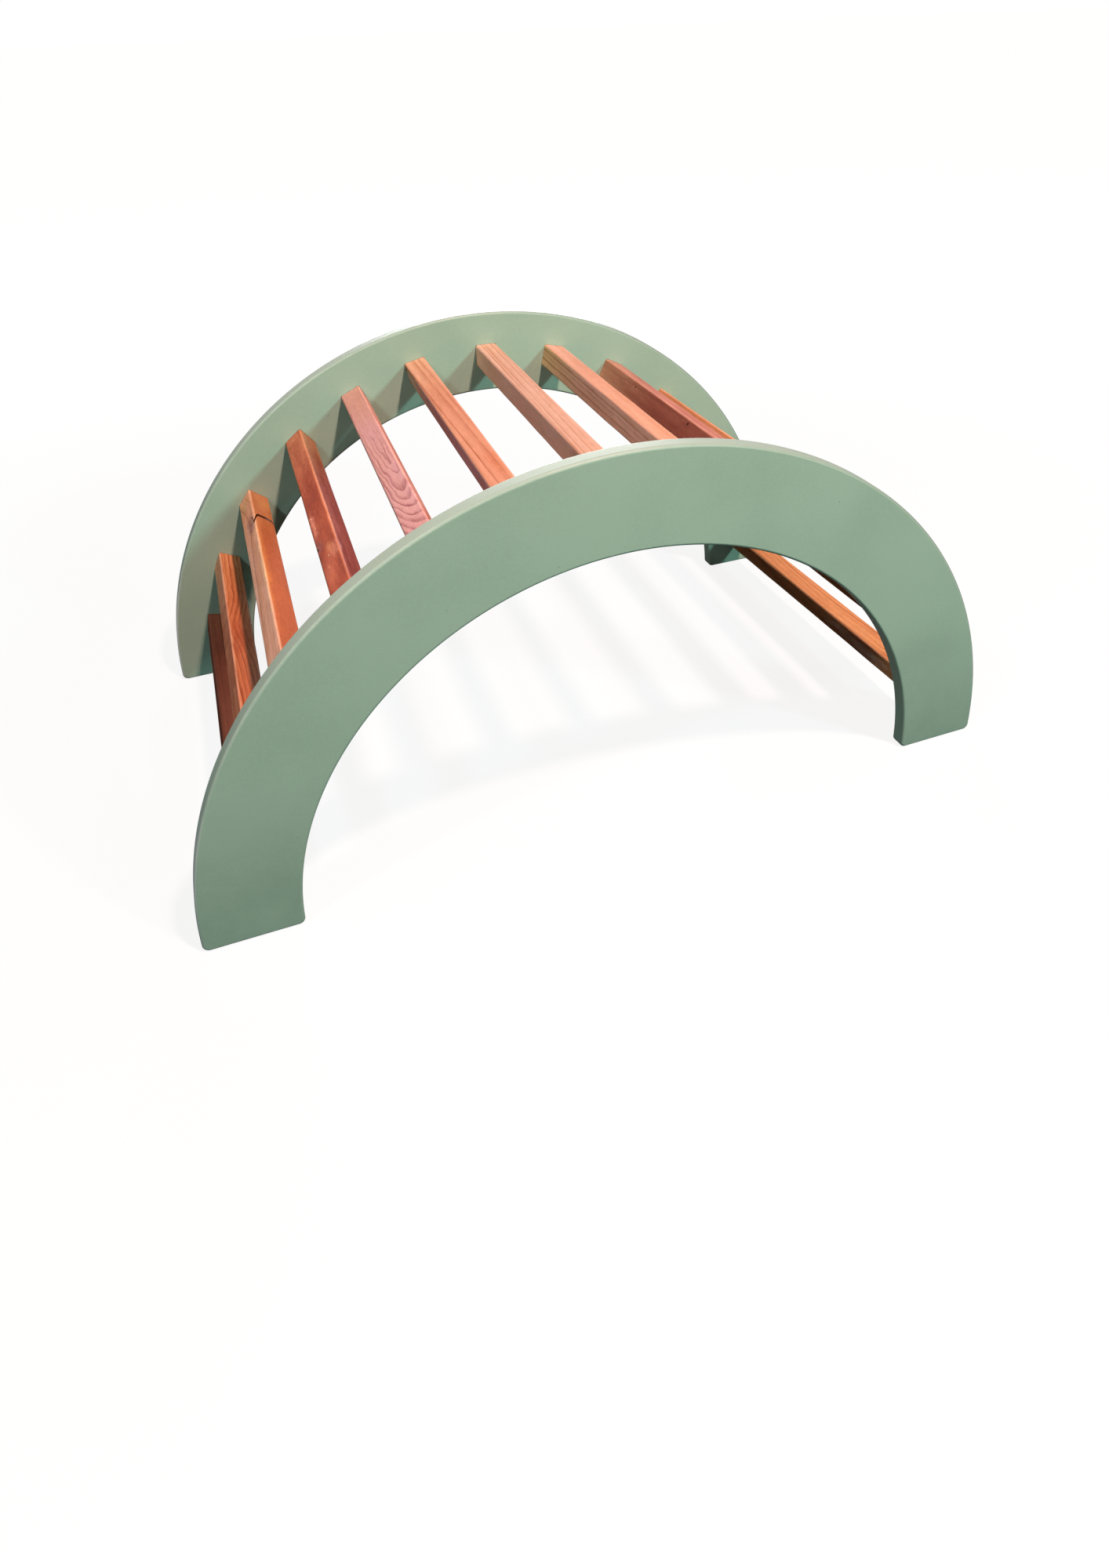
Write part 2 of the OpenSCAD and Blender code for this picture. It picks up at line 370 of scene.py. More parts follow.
# Each bar was sawn from its own board. They are counted from the left foot
BARS = {
    1: dict(
        slot="rung_wood_red", seed=1.3, pith=(-70, 20), lean=(0.01, 0), ring=7, wave=1.5,
        bend=(20, 130), rings=[(1, 0.8, 2.4)], early="#8A4A3A", tone="#7B3F32", late="#55261E",
        rubbed_and_highlight="#9A5B47",
        face_lighting_tints=[(1.85, 1.45, 1.25), (1.65, 1.8, 1.55), (1, 1, 1), (1, 1, 1)]),
    2: dict(
        slot="rung_wood_orange", seed=2.1, pith=(-80, 6), lean=(0.012, 0), ring=5.2,
        depth=(0.7, 1), onset=0.35, wave=2.6, bend=(13, 38), figure=(1, 0.45),
        swells=[(57, 40, 8, 0), (43, 95, 5, 0)], early="#CC7A50", tone="#B8623A", late="#84391F",
        patches_and_painted_light=[(0, 30, -13, 20, 60, "#A24A2A", 0.6)],
        face_lighting_tints=[(0.9, 0.95, 0.95), (1.05, 1.4, 1.5), (1.25, 1.5, 2.15), (1.4, 2.4, 3.55)]),
    3: dict(
        slot="rung_wood_orange", seed=3.4, pith=(0, -75), lean=(0, -0.036), ring=9,
        depth=(0.2, 0.5), rings=[(-9, 0.5, 2), (2.8, 0.3, 2), (6.8, 1, 2.6)], wave=0.9,
        bend=(18, 90), figure=(0.3, 0.9), swells=[(250, 45, 0, 20)], early="#C4805E",
        tone="#B8714C", late="#8E4E32", flecks=0.6,
        patches_and_painted_light=[(13, 152, -4, 11, 34, "#7A4E46", 0.8), (13, 215, 3, 12, 26, "#A07A4E", 0.6),
                 # A painted highlight along the upper side's eased edge
                 (12, 40, -13.5, 7, 170, "#E0A468", 0.8),
                 # Painted light on the upper side's far end, past the split
                 (-6, 212, -13.5, 12, 18, "#C89058", 0.5)],
        knots=[(13.5, 163, -9, THROUGH_X, 2.2, 6), (13.5, 151, -4, THROUGH_X, 2, 2),
               (13.5, 139, -1, THROUGH_X, 2.6, 5), (10, -117, -13.5, THROUGH_Z, 1.2, 0)],
        knot="#573528",
        split=dict(y=169, bow=0.06, bow_from=-3.5, drop=21, drop_from=7, half=2.3, deep=2.6),
        face_lighting_tints=[(0.9, 0.7, 0.55), (0.9, 1, 0.85), (1.6, 2.4, 3.45), (1.55, 1.95, 2.3)]),
    4: dict(
        slot="rung_wood_red", seed=4.2, pith=(-50, -30), lean=(0.02, 0), ring=8,
        depth=(0.2, 0.5), wave=3.5, bend=(14, 60), early="#AE5F48", tone="#9A4C38",
        late="#6E3024", gloss=0.34, sheen=0.03, rubbed_and_highlight="#D8936F", mottle=0.09, scratches=0.3,
        # The pale line along the edge at z -13 is a painted highlight, and the small pale specks
        # painted glints
        patches_and_painted_light=[(13, 60, -2, 12, 120, "#8A3A2A", 0.5), (13, -14, 8, 5, 42, "#DC9680", 0.9),
                 (13, -86, -7, 9, 22, "#D89882", 0.75), (13, -122, 4, 12, 48, "#C87A62", 0.7),
                 (13, 30, -13, 3.2, 230, "#DC9470", 0.6), (13, -60, 9, 8, 20, "#8E6260", 0.75),
                 (13, -78, -3, 7, 20, "#CC8862", 0.8), (13, 4, 8, 1.2, 3, "#F0C8A8", 0.9),
                 (13, -22, 6.5, 1.2, 4, "#F0C8A8", 0.8), (13, -92, 1, 1.3, 4, "#F0C8A8", 0.8),
                 (13, -112, 4, 1.6, 5, "#E8B08C", 0.8), (13, -135, 3, 6, 22, "#BE6E4C", 0.7),
                 (13, 228, 0, 14, 12, "#B0664E", 0.6)],
        knots=[(13.5, -66, 11.3, THROUGH_X, 2.8, 8)], knot="#2A1412",
        face_lighting_tints=[(0.75, 0.9, 1.4), (0.9, 1.65, 1.55), (1.15, 1.05, 1), (1.5, 2.05, 1.95)]),
    5: dict(
        slot="rung_wood_pink", seed=5.7, pith=(10.5, -4.3), lean=(0, 0.025), ring=3.7,
        phase=0.3, depth=(0.65, 0.9), onset=0.5, wave=2.3, bend=(10, 30),
        swells=[(-38, 16, 0, -1.5), (-92, 15, 0, 2)], dive=(52, -0.00054, 0),
        calm=(105, 20, 0.2, 1), early="#CE9187", tone="#D0917F", late="#8A4A46",
        knots=[(13.5, 45, -8, THROUGH_X, 1, 0)], knot="#8A4A44", rubbed_and_highlight="#E0A796",
        face_lighting_tints=[(1, 1, 1), (1, 1, 1), (1, 1.2, 1.45), (0.95, 1.1, 1.05)]),
    6: dict(
        slot="rung_wood_salmon", seed=6.6, pith=(0, 80), lean=(0, 0.025), ring=8,
        depth=(0.15, 0.4), rings=[(-6.2, 1, 1.5), (5.6, 0.6, 2.6), (12.2, 0.5, 2.4)], wave=0.8,
        bend=(22, 140), early="#CC8C6A", tone="#C4805C", late="#984E2C",
        patches_and_painted_light=[(13, -115, -6, 10, 44, "#C06F45", 0.7)], rubbed_and_highlight="#DCA486",
        face_lighting_tints=[(1.1, 1.3, 2.45), (0.95, 1.6, 2.05), (1, 1.05, 1.2), (1.15, 1.5, 1.8)]),
    7: dict(
        slot="rung_wood_salmon", seed=7.2, pith=(0, -90), lean=(0, -0.0147), ring=8,
        depth=(0.15, 0.4), rings=[(-6.5, 0.35, 3), (-1, 0.5, 3), (7.2, 0.8, 2.2), (11, 0.8, 2)],
        wave=1.3, bend=(22, 90), early="#CF967C", tone="#CB8D70", late="#A8603F",
        rubbed_and_highlight="#E0AE94",
        face_lighting_tints=[(1.4, 1.7, 2), (1.4, 1.75, 1.85), (0.9, 1.1, 1.25), (1.05, 1.4, 1.6)]),
    8: dict(
        slot="rung_wood_salmon", seed=8.9, pith=(-70, -4), lean=(0.007, 0), ring=7,
        depth=(0.3, 0.6), rings=[(-2.6, 0.9, 1.8), (7.6, 0.9, 1.8)], wave=1.6, bend=(12, 55),
        early="#D0946F", tone="#C68761", late="#985836", rubbed_and_highlight="#E2AE8E",
        patches_and_painted_light=[(13, 106, 2, 4, 26, "#C07850", 0.5), (13, 4, -10, 4, 14, "#C07850", 0.5)],
        face_lighting_tints=[(1.4, 1.7, 2.45), (1.3, 1.75, 1.75), (0.95, 1.05, 1.35), (1.05, 1.3, 1.85)]),
    9: dict(
        slot="rung_wood_red", seed=9.5, pith=(50, -50), lean=(0, 0.02), ring=9,
        depth=(0.15, 0.45), wave=2.5, bend=(22, 100), early="#A65E4C", tone="#944D3D",
        late="#70382C", knot="#2A1410", rubbed_and_highlight="#D39A80",
        knots=[(7.5, -23, 13.5, THROUGH_Z, 2.2, 7), (6.5, 129, 13.5, THROUGH_Z, 1.7, 3)],
        face_lighting_tints=[(0.95, 1.05, 1.1), (1.45, 2.45, 2.3), (1.35, 2, 2.5), (1.4, 2.45, 2.85)]),
    10: dict(
        slot="rung_wood_orange", seed=10.4, pith=(60, 60), lean=(0, 0.02), ring=6, wave=2,
        bend=(24, 120), early="#CF8A60", tone="#C47B52", late="#A8633C"),
    11: dict(
        slot="rung_wood_salmon", seed=11.8, pith=(-20, 50), lean=(0.04, 0), ring=5.5, wave=3,
        bend=(22, 100), early="#C98460", tone="#BF7852", late="#A0603F",
        knots=[(13.5, 70, 4, THROUGH_X, 2, 6)]),
    12: dict(
        slot="rung_wood_salmon", seed=12.6, pith=(30, -40), lean=(0, 0.04), ring=6, wave=3,
        bend=(22, 110), early="#C98258", tone="#BC744C", late="#A05C38"),
    13: dict(
        slot="rung_wood_orange", seed=13.3, pith=(-70, -10), lean=(0, 0), ring=6,
        depth=(0.4, 0.8), wave=1.4, bend=(16, 80), swells=[(0, 120, -6, 0)], early="#CC8752",
        # The pale patch on the inner face's near half is painted light, where a lamp reaches under
        # the arch
        tone="#C47A48", late="#9A5228", patches_and_painted_light=[(-13.5, -110, 0, 13, 90, "#F0C0A0", 0.9)],
        face_lighting_tints=[(1.05, 1.2, 1.5), (1.05, 1.2, 1.5), (1, 1, 1), (1, 1, 1)]),
}


def hump(node, value, reach):
    """1 where value is 0, fading out over reach."""
    square = node("Math", node("Math", value, reach, operation="DIVIDE"), 2, operation="POWER")
    return node("Math", node("Math", square, -1, operation="MULTIPLY"), operation="EXPONENT")


def grain(node, place, seed, size, along, detail=2, rough=0.5):
    """Noise whose spots are size mm across the grain and along mm with it."""
    cells = node("VectorMath", place, (1 / size, 1 / along, 1 / size), operation="MULTIPLY")
    return node("TexNoise", cells, seed, 1, detail, rough, noise_dimensions="4D")


def distance(node, place, spot, stretch):
    """How far a place is from a spot, with each direction stretched by its own share."""
    away = node("VectorMath", place, spot, operation="SUBTRACT")
    away = node("VectorMath", away, stretch, operation="MULTIPLY")
    return node("VectorMath", away, operation="LENGTH")


def place_in_log(node, place, wood):
    """Where a spot of the bar lay in its log. The heart runs off at a slant, swings out beside a
    knot that was left in the next bar, or dives away from a face, which draws cathedral points."""
    along = node("SeparateXYZ", place).outputs["Y"]
    pith_x, pith_z = wood["pith"]
    lean_x, lean_z = wood["lean"]
    log = node("VectorMath", place, (pith_x, 0, pith_z), operation="SUBTRACT")
    slant = node("VectorMath", (lean_x, 0, lean_z), along, operation="SCALE")
    log = node("VectorMath", log, slant, operation="SUBTRACT")
    for y, reach, push_x, push_z in wood["swells"]:
        near = hump(node, node("Math", along, y, operation="SUBTRACT"), reach)
        push = node("VectorMath", (push_x, 0, push_z), near, operation="SCALE")
        log = node("VectorMath", log, push, operation="SUBTRACT")
    if wood["dive"]:
        start, dive_x, dive_z = wood["dive"]
        past = node("Math", start, along, operation="SUBTRACT")
        past = node("Math", past, 0, operation="MAXIMUM")
        past = node("Math", past, 2, operation="POWER")
        push = node("VectorMath", (dive_x, 0, dive_z), past, operation="SCALE")
        log = node("VectorMath", log, push, operation="SUBTRACT")

    # The trunk's slow bends turn straight lines into waves
    wave = wood["wave"]
    bends = grain(node, place, wood["seed"], *wood["bend"]).outputs["Color"]
    log = node("VectorMath", bends, (2 * wave, 0, 2 * wave), log, operation="MULTIPLY_ADD")
    return node("VectorMath", log, (-wave, 0, -wave), operation="ADD")


def knotted(node, place, wood, radius):
    """The rings' radius where knots push them aside, and how much each spot is in a dark ragged
    knot, or None in a bar that has none."""
    in_knot = None
    for x, y, z, through, core, shove in wood["knots"]:
        away = distance(node, place, (x, y, z), through)
        radius = node("Math", hump(node, away, 2.6 * core), shove, radius, operation="MULTIPLY_ADD")
        rough_edge = grain(node, place, wood["seed"], 1.8, 2.4, 3)
        ragged = node("Math", rough_edge, 2.2 * core, away, operation="MULTIPLY_ADD")
        spot = node("MapRange", ragged, 2.1 * core, 1.3 * core)
        in_knot = node("Math", in_knot, spot, operation="MAXIMUM") if in_knot else spot
    return radius, in_knot


def late_wood(node, place, wood, radius, outer):
    """Year rings: pale early wood that darkens slowly and ends in a sharp late line. The value is
    how late in the year a spot grew, and so how dark it is."""
    seed = wood["seed"]
    # How far out from the bar's middle, then how many years that is. Some years are wider, and a
    # dry one has paler late wood
    depth = node("Math", radius, math.hypot(*wood["pith"]), operation="SUBTRACT")
    years = node("Math", depth, wood["ring"], operation="DIVIDE")
    years = node("Math", years, wood["phase"], operation="ADD")
    spread = node("Math", years, 7 * seed, operation="ADD")
    spread = node("TexNoise", spread, 0.7, 1, noise_dimensions="1D")
    years = node("Math", spread, 0.9, years, operation="MULTIPLY_ADD")
    season = node("ValToRGB", node("Math", years, operation="FRACT"),
                  stops=[(0, grey(0)), (wood["onset"], grey(0.12)), (0.84, grey(1)),
                         (0.92, grey(1)), (1, grey(0))])
    dry_year = node("TexWhiteNoise", node("Math", years, operation="FLOOR"), noise_dimensions="1D")
    dry_year = node("MapRange", dry_year, 0, 1, *wood["depth"])
    late = node("Math", season, dry_year, operation="MULTIPLY")

    # The few strong rings that the eye finds first
    if wood["rings"]:
        stops = [(0, grey(0))]
        for out, dark, width in sorted(wood["rings"]):
            for shift, share in RING_SHAPE:
                place_on_ramp = 0.5 + (out + shift * width) / (2 * RINGS_REACH)
                stops.append((place_on_ramp, grey(dark * share)))
        strong = node("MapRange", depth, -RINGS_REACH, RINGS_REACH)
        strong = node("ValToRGB", strong, stops=stops)
        late = node("Math", late, strong, operation="MAXIMUM")

    # The side faces, the outer face or a stretch of the bar can show a fainter figure, and it is
    # fainter here and there in spots 9 mm wide and 70 mm long
    figure = node("MapRange", outer, 0, 1, *wood["figure"])
    late = node("Math", late, figure, operation="MULTIPLY")
    if wood["calm"]:
        along = node("SeparateXYZ", place).outputs["Y"]
        calm = node("MapRange", along, *wood["calm"])
        late = node("Math", late, calm, operation="MULTIPLY")
    faint = node("MapRange", grain(node, place, seed + 3, 9, 70), 0.3, 0.62, 0.45, 1)
    return node("Math", late, faint, operation="MULTIPLY")


def split_path(split, x):
    """Depth along the bar at which the split crosses its upper side, x mm from the middle."""
    bow = min(x - split["bow_from"], 0)
    drop = max(x - split["drop_from"], 0) / (RUNG_SIDE / 2 - split["drop_from"])
    return split["y"] - split["bow"] * bow ** 2 - split["drop"] * drop ** 2


def split_shade_mask(node, parts, split):
    """1 in the split's gap, painted dark as its shade, by the same path as split_path."""
    bow = node("Math", parts["X"], split["bow_from"], operation="SUBTRACT")
    bow = node("Math", bow, 0, operation="MINIMUM")
    drop = node("Math", parts["X"], split["drop_from"], operation="SUBTRACT")
    drop = node("Math", drop, 0, operation="MAXIMUM")
    drop = node("Math", drop, RUNG_SIDE / 2 - split["drop_from"], operation="DIVIDE")
    away = node("Math", parts["Y"], split["y"], operation="SUBTRACT")
    for bend, amount in ((bow, split["bow"]), (drop, split["drop"])):
        square = node("Math", bend, 2, operation="POWER")
        away = node("Math", square, amount, away, operation="MULTIPLY_ADD")
    away = node("Math", away, operation="ABSOLUTE")
    gap = node("MapRange", away, *[split["half"] + past for past in DARK_BESIDE])
    on_side = node("MapRange", parts["Z"], *DARK_ON_SIDE)
    return node("Math", gap, on_side, operation="MULTIPLY")


def patched(node, place, wood, colour):
    """The tone with its cloudy spots, some of them painted light, whose borders are ragged over 5
    by 16 mm.
    """
    for x, y, z, across, along, patch_tone, share in wood["patches_and_painted_light"]:
        far = distance(node, place, (x, y, z), (1 / across, 1 / along, 1 / across))
        ragged = grain(node, place, wood["seed"] + 5, 5, 16, 3, 0.6)
        far = node("Math", ragged, 1.6, far, operation="MULTIPLY_ADD")
        inside = node("MapRange", far, 1.7, 0.9, 0, share)
        colour = node("Mix", inside, colour, hex_colour(patch_tone), data_type="RGBA")
    return colour


def worn_and_lit(node, place, parts, wood, outer, colour):
    """The tone with what years of feet and hands have done to it, with a painted highlight on the
    eased edges and the painted light and shade of each face.
    """
    seed = wood["seed"]
    rubbed_and_highlight = hex_colour(wood["rubbed_and_highlight"])
    # Pale dry scratches 2 by 9 mm along the bar, where it has been knocked
    scratch = grain(node, place, seed + 11, 2, 9, 4, 0.65)
    scratch = node("MapRange", scratch, 0.52, 0.68, 0, wood["scratches"])
    knocked = node("MapRange", grain(node, place, seed + 13, 11, 40), 0.45, 0.6)
    scratch = node("Math", scratch, knocked, operation="MULTIPLY")
    colour = node("Mix", scratch, colour, rubbed_and_highlight, data_type="RGBA")

    # A mottle of 4 by 11 mm
    mottle = grain(node, place, seed + 7, 4, 11, 3, 0.6)
    mottle = node("MapRange", mottle, 0.35, 0.65, 1 - wood["mottle"], 1 + wood["mottle"])
    colour = node("VectorMath", colour, mottle, operation="SCALE")

    # Painted light and shade: the tone changes from the near to the far end, and is another one on
    # the outer face, as each face is lit
    far = node("MapRange", parts["Y"], *FAR_END, interpolation_type="SMOOTHSTEP")
    side_near, side_far, outer_near, outer_far = wood["face_lighting_tints"]
    side_lighting = node("Mix", far, side_near, side_far, data_type="VECTOR")
    outer_lighting = node("Mix", far, outer_near, outer_far, data_type="VECTOR")
    face_lighting = node("Mix", outer, side_lighting, outer_lighting, data_type="VECTOR")
    colour = node("VectorMath", colour, face_lighting, operation="MULTIPLY")

    # The eased edges are paler in spots 6 mm wide and 30 mm long: partly where hands have worn the
    # oil off, and partly a painted highlight. The ridge is RUNG_SIDE at a sharp corner, and 1 to 2
    # mm less at an eased one
    across = node("Math", parts["X"], operation="ABSOLUTE")
    ridge = node("Math", across, node("Math", parts["Z"], operation="ABSOLUTE"), operation="ADD")
    on_ridge = node("MapRange", ridge, RUNG_SIDE - 2.6, RUNG_SIDE - 1.2)
    rub_and_highlight = node("MapRange", grain(node, place, seed + 9, 6, 30, 3, 0.6), 0.35, 0.65, 0.2, 0.75)
    rub_and_highlight = node("Math", on_ridge, rub_and_highlight, operation="MULTIPLY")
    return node("Mix", rub_and_highlight, colour, rubbed_and_highlight, data_type="RGBA")


def oiled_softwood(name, wood):
    """Planed and oiled softwood: a solid log pattern cut by the bar's faces, so that its year
    rings run over the edges, with dark late wood that stands a little proud."""
    material, node = new_material(name)
    place = in_millimetres(node)
    parts = node("SeparateXYZ", place).outputs
    seed = wood["seed"]
    # 1 on the outer face, changing softly over its eased edges
    outer = node("MapRange", parts["X"], RUNG_SIDE / 2 - 1.7, RUNG_SIDE / 2 - 0.5)
    flat = node("VectorMath", place_in_log(node, place, wood), (1, 0, 1), operation="MULTIPLY")
    radius = node("VectorMath", flat, operation="LENGTH")
    radius, in_knot = knotted(node, place, wood, radius)
    late = late_wood(node, place, wood, radius, outer)

    # Early wood drifts between two tones, over 13 by 90 mm
    drift = node("MapRange", grain(node, place, seed, 13, 90), 0.36, 0.64)
    early, tone = hex_colour(wood["early"]), hex_colour(wood["tone"])
    colour = node("Mix", drift, early, tone, data_type="RGBA")
    colour = patched(node, place, wood, colour)
    colour = node("Mix", late, colour, hex_colour(wood["late"]), data_type="RGBA")

    # Short dark resin flecks, about 4 mm long and half a millimetre wide, which are drawn 1 mm
    # wide so that they show
    cells = node("VectorMath", place, (1 / 2.6, 1 / 12, 1 / 2.6), operation="MULTIPLY")
    flecks = node("TexVoronoi", cells, seed, 1, voronoi_dimensions="4D")
    fleck = node("MapRange", flecks, 0.12, 0.24, wood["flecks"], 0)
    colour = node("Mix", fleck, colour, hex_colour(wood["late"]), data_type="RGBA")

    # Fibres are a hair wide, and are drawn about 0.8 mm wide so that they show
    fibres = grain(node, place, seed, 0.8, 22, 3, 0.6)
    lighter = node("MapRange", fibres, 0.25, 0.75, 0.9, 1.1)
    colour = node("VectorMath", colour, lighter, operation="SCALE")
    colour = worn_and_lit(node, place, parts, wood, outer, colour)

    # Late wood and fibres stand proud by up to 0.05 mm, and flecks and knots lie lower
    height = node("Math", late, 0.05, operation="MULTIPLY")
    height = node("Math", fibres, 0.05, height, operation="MULTIPLY_ADD")
    height = node("Math", fleck, -0.1, height, operation="MULTIPLY_ADD")
    if in_knot:
        colour = node("Mix", in_knot, colour, hex_colour(wood["knot"]), data_type="RGBA")
        height = node("Math", in_knot, -0.25, height, operation="MULTIPLY_ADD")
    if wood["split"]:
        gap = split_shade_mask(node, parts, wood["split"])
        # Painted shade in and just beside the split's gap
        colour = node("Mix", gap, colour, hex_colour("#3E1F10"), data_type="RGBA")
    bump = node("Bump", inputs={"Height": height, "Distance": MM, "Strength": 1})

    # The oil has soaked in, so there is only a thin even sheen and no bright shine at a slant
    dry = node("BsdfPrincipled", inputs={"Base Color": colour, "Roughness": 0.8, "Normal": bump,
                                         "Specular IOR Level": 0})
    dull = node("MapRange", fibres, 0.3, 0.7, wood["gloss"] - 0.05, wood["gloss"] + 0.07)
    oil = node("BsdfGlossy", inputs={"Roughness": dull, "Normal": bump})
    share = node("MapRange", drift, 0, 1, 0.6, 1.3)
    share = node("Math", share, wood["sheen"], operation="MULTIPLY")
    node("OutputMaterial", node("MixShader", share, dry, oil))
    return material


# ---- Steel and beech


def zinc_plated_steel():
    """Zinc-plated screw steel: a pale grey metal, a little cloudy, with three clouds in 5 mm."""
    material, node = new_material("zinc_plated_steel")
    spangle = node("TexNoise", in_millimetres(node), 3 / 5, 3)
    tone = node("ValToRGB", spangle,
                stops=[(0.35, hex_colour("#A3A6A6")), (0.65, hex_colour("#BFC2C1"))])
    dull = node("MapRange", spangle, 0, 1, 0.25, 0.42)
    steel = node("BsdfPrincipled", inputs={"Base Color": tone, "Roughness": dull, "Metallic": 1})
    node("OutputMaterial", steel)
    return material


def beech_plug_wood():
    """Turned beech dowel, bare: pale, dense wood with flecks 5 mm long, six of them side by side
    in 5 mm."""
    material, node = new_material("beech_plug_wood")
    cells = node("VectorMath", in_millimetres(node), (6 / 5, 1 / 5, 6 / 5), operation="MULTIPLY")
    flecks = node("TexNoise", cells, 1, 3)
    tone = node("ValToRGB", flecks,
                stops=[(0.4, hex_colour("#C9A27A")), (0.62, hex_colour("#DDBD97"))])
    bump = node("Bump", inputs={"Height": flecks, "Distance": 0.05 * MM, "Strength": 1})
    beech = node("BsdfPrincipled", inputs={"Base Color": tone, "Roughness": 0.6, "Normal": bump})
    node("OutputMaterial", beech)
    return material


# ---- Mesh helpers


def new_piece(name, mesh, place=None):
    """A piece of the scene, in the frame that its mesh was drawn in, or else in the world's."""
    piece = bpy.data.objects.new(name, mesh)
    if place is not None:
        piece.matrix_world = place
    bpy.context.scene.collection.objects.link(piece)
    return piece


def mesh_from(name, points, faces):
    """A mesh from points in millimetres, with all its faces turned outwards."""
    mesh = bpy.data.meshes.new(name)
    mesh.from_pydata([[c * MM for c in p] for p in points], [], faces)
    work = bmesh.new()
    work.from_mesh(mesh)
    bmesh.ops.recalc_face_normals(work, faces=work.faces)
    work.to_mesh(mesh)
    work.free()
    return mesh


def smooth(piece):
    """Smooth shading that keeps flat faces flat and true edges sharp."""
    piece.data.shade_smooth()
    piece.data.set_sharp_from_angle(angle=math.radians(SHARP_FROM))
    weigh = piece.modifiers.new("flat_faces_stay_flat", "WEIGHTED_NORMAL")
    weigh.mode = "FACE_AREA"
    weigh.weight = 100
    weigh.keep_sharp = True


def tube_faces(rows, around, first=0):
    """Faces of a tube with both ends closed. Its points start at first, and each of its rows has
    the same number of them."""
    faces = []
    for r in range(rows - 1):
        for k in range(around):
            a = first + r * around + k
            b = first + r * around + (k + 1) % around
            faces.append((a, b, b + around, a + around))
    last = first + (rows - 1) * around
    faces.append(tuple(range(first, first + around)))
    faces.append(tuple(range(last, last + around)))
    return faces


def circle(r):
    """Outline of a screw hole or plug."""
    turns = [math.tau * k / CIRCLE_STEPS for k in range(CIRCLE_STEPS)]
    return [(r * math.cos(turn), r * math.sin(turn)) for turn in turns]


def rounded_square(side, r, between=1):
    """Outline of a square with rounded corners, starting at the +x +z corner, with each of its
    straight sides in so many steps."""
    half = side / 2 - r
    points = []
    for quarter in range(4):
        cx = half if quarter in (0, 3) else -half
        cz = half if quarter in (0, 1) else -half
        for k in range(EASE_STEPS + 1):
            a = math.radians(90 * quarter + 90 * k / EASE_STEPS)
            points.append((cx + r * math.cos(a), cz + r * math.sin(a)))
        nx = half if (quarter + 1) % 4 in (0, 3) else -half
        nz = half if (quarter + 1) % 4 in (0, 1) else -half
        a = math.radians(90 * (quarter + 1))
        for k in range(1, between):
            t = k / between
            x = cx + (nx - cx) * t + r * math.cos(a)
            z = cz + (nz - cz) * t + r * math.sin(a)
            points.append((x, z))
    return points


def solids_along_rungs(name, sections, frame_of, depth_of=None):
    """One mesh with the same solid at every rung, in the frame that frame_of gives. Sections are
    rows of a depth and an outline, and depth_of says where their points lie in a leaning frame."""
    points, faces = [], []
    around = len(sections[0][1])
    for i in range(1, RUNG_COUNT + 1):
        place = frame_of(i)
        faces += tube_faces(len(sections), around, len(points))
        for y, outline in sections:
            for x, z in outline:
                p = depth_of(x, y, z) if depth_of else (x, y, z)
                points.append(tuple(place @ (Vector(p) * MM) / MM))
    return mesh_from(name, points, faces)


def cut(piece, mesh):
    """Cuts the solids of a mesh out of a piece."""
    cutter = new_piece("cutter", mesh)
    tool = piece.modifiers.new("cut", "BOOLEAN")
    tool.operation = "DIFFERENCE"
    tool.solver = "EXACT"
    tool.object = cutter
    shown = piece.evaluated_get(bpy.context.evaluated_depsgraph_get())
    done = bpy.data.meshes.new_from_object(shown)
    piece.modifiers.clear()
    piece.data = done
    bpy.data.objects.remove(cutter)


# ---- Side panels


def arc(cx, cz, r, start, end, steps, facing=1):
    """Points of an arc with the way that the edge faces at each, in towards its centre if facing
    is -1."""
    points = []
    for k in range(steps + 1):
        a = math.radians(start + (end - start) * k / steps)
        points.append((cx + r * math.cos(a), cz + r * math.sin(a),
                       facing * math.cos(a), facing * math.sin(a)))
    return points


def panel_outline():
    """The panel seen from the front, over the ring's outer edge and back along its inner one."""
    rise = FOOT_TRIM + FOOT_CORNER_R
    outer_r = ARCH_R - ARC_SHY
    outer = math.degrees(math.asin(rise / outer_r))
    inner = math.degrees(math.asin(rise / INNER_R))
    outer_x = math.sqrt(outer_r ** 2 - rise ** 2) - FOOT_CORNER_R
    inner_x = math.sqrt(INNER_R ** 2 - rise ** 2) + FOOT_CORNER_R
    corner = 90 / CORNER_STEPS

    def left_corner(x):
        return arc(x, FOOT_CORNER_R, FOOT_CORNER_R, 180 + corner, 270, CORNER_STEPS - 1)

    def right_corner(x):
        return arc(x, FOOT_CORNER_R, FOOT_CORNER_R, 270, 360 - corner, CORNER_STEPS - 1)

    return (arc(0, -FOOT_TRIM, outer_r, outer, 180 - outer, ARC_STEPS)
            + left_corner(-outer_x) + right_corner(-inner_x)
            + arc(0, -FOOT_TRIM, INNER_R, 180 - inner, inner, ARC_STEPS, -1)
            + left_corner(inner_x) + right_corner(outer_x))


def panel_blank(name, side):
    """A panel with all its edges rounded over; side is -1 at the front and 1 at the back."""
    outline = panel_outline()
    turns = [math.radians(90 * k / ROUND_STEPS) for k in range(ROUND_STEPS + 1)]
    rounds = [(EDGE_R * (1 - math.sin(t)), EDGE_R * (1 - math.cos(t))) for t in turns]
    profile = rounds + [(inset, PANEL_T - depth) for inset, depth in reversed(rounds)]
    points = []
    for inset, depth in profile:
        y = side * (PANEL_OUTSIDE - depth)
        points += [(x - nx * inset, y, z - nz * inset) for x, z, nx, nz in outline]
    return mesh_from(name, points, tube_faces(len(profile), len(outline)))


